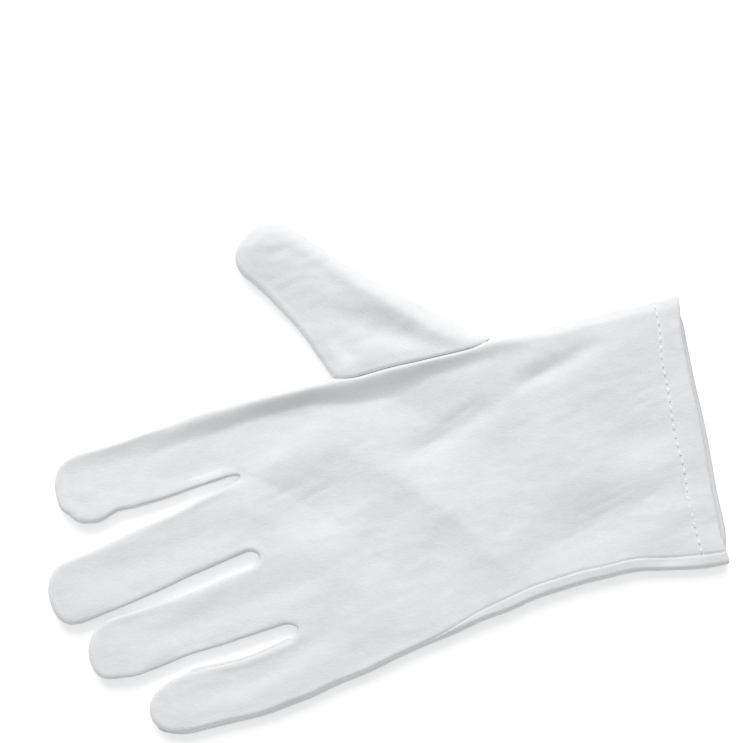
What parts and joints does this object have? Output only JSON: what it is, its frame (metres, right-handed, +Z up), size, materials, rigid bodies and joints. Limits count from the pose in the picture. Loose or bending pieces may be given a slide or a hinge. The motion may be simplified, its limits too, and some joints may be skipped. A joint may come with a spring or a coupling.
{
  "type": "white parade glove",
  "caption": "Thin white cotton dress glove for the left hand, lying on its palm, hollow, with an open hemmed cuff, side strips between the fingers and a set-in thumb.",
  "frame": {"origin": "on the table, under the middle of the glove's bounding box", "axes": "+X from the little finger towards the thumb, +Y from the cuff towards the fingertips, +Z up through the back of the hand"},
  "size_m": [0.1694, 0.2374, 0.012],
  "materials": {
    "back_cotton": "matt, softly napped cotton jersey",
    "palm_cotton": "matt, softly napped cotton jersey",
    "strip_cotton": "matt cotton jersey",
    "thumb_cotton": "matt, softly napped cotton jersey",
    "hem_cotton": "matt cotton jersey, turned in and stitched"
  },
  "bodies": {
    "root": {"back_panel": "back_cotton", "palm_panel": "palm_cotton", "fourchette_index_middle": "strip_cotton", "fourchette_middle_ring": "strip_cotton", "fourchette_ring_little": "strip_cotton", "thumb": "thumb_cotton", "cuff_hem": "hem_cotton"}
  },
  "joints": []
}
